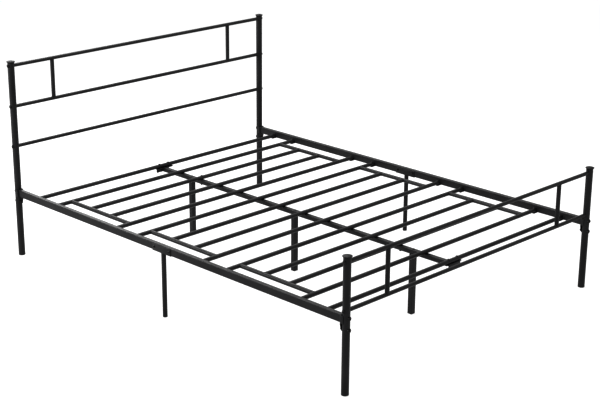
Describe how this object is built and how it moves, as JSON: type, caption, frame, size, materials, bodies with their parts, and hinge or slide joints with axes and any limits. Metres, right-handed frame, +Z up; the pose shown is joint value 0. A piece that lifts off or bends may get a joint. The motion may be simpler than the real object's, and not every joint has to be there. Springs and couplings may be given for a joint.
{
  "type": "metal bed frame",
  "caption": "Black tubular steel platform bed frame with a railed headboard and footboard, round slats, a centre beam and legs.",
  "frame": {"origin": "on the floor, in the middle of the four posts", "axes": "+X to the right seen from the foot of the bed, +Y towards the headboard, +Z up"},
  "size_m": [1.5646, 2.0934, 0.918],
  "materials": {
    "painted": "satin black powder coat on steel tube",
    "plastic": "moulded black plastic caps and feet",
    "black_bolt": "black oxide bolts, washers and corner nuts",
    "zinc": "zinc plated threaded inserts"
  },
  "bodies": {
    "root": {"head_post_left": "painted", "head_post_right": "painted", "foot_post_left": "painted", "foot_post_right": "painted", "head_rail_top": "painted", "head_rail_middle": "painted", "head_rail_low": "painted", "head_spindles": "painted", "foot_rail_top": "painted", "foot_rail_low": "painted", "foot_spindles": "painted", "side_rail_left_head": "painted", "side_rail_left_foot": "painted", "side_rail_right_head": "painted", "side_rail_right_foot": "painted", "corner_bracket_head_left": "painted", "corner_bracket_head_right": "painted", "corner_bracket_foot_left": "painted", "corner_bracket_foot_right": "painted", "mid_bracket_left": "painted", "mid_bracket_right": "painted", "mid_leg_left": "painted", "mid_leg_right": "painted", "slat_1": "painted", "slat_2": "painted", "slat_3": "painted", "slat_4": "painted", "slat_5": "painted", "slat_6": "painted", "slat_7": "painted", "slat_8": "painted", "slat_9": "painted", "slat_10": "painted", "slat_11": "painted", "slat_12": "painted", "slat_13": "painted", "slat_14": "painted", "connectors_left": "painted", "connectors_right": "painted", "slat_ledges": "painted", "centre_beam": "painted", "beam_clamp_head": "painted", "beam_clamp_foot": "painted", "centre_leg_head": "painted", "centre_leg_middle": "painted", "centre_leg_foot": "painted", "post_caps": "plastic", "post_feet": "plastic", "mid_leg_feet": "plastic", "centre_leg_feet": "plastic", "corner_bolts": "black_bolt", "saddle_washers": "black_bolt", "corner_nuts": "black_bolt", "rail_bolts": "black_bolt", "slat_bolts": "black_bolt", "splice_bolts": "black_bolt", "beam_bolts": "black_bolt", "leg_bolts": "black_bolt", "m6_nuts": "black_bolt", "rail_inserts": "zinc"}
  },
  "joints": []
}
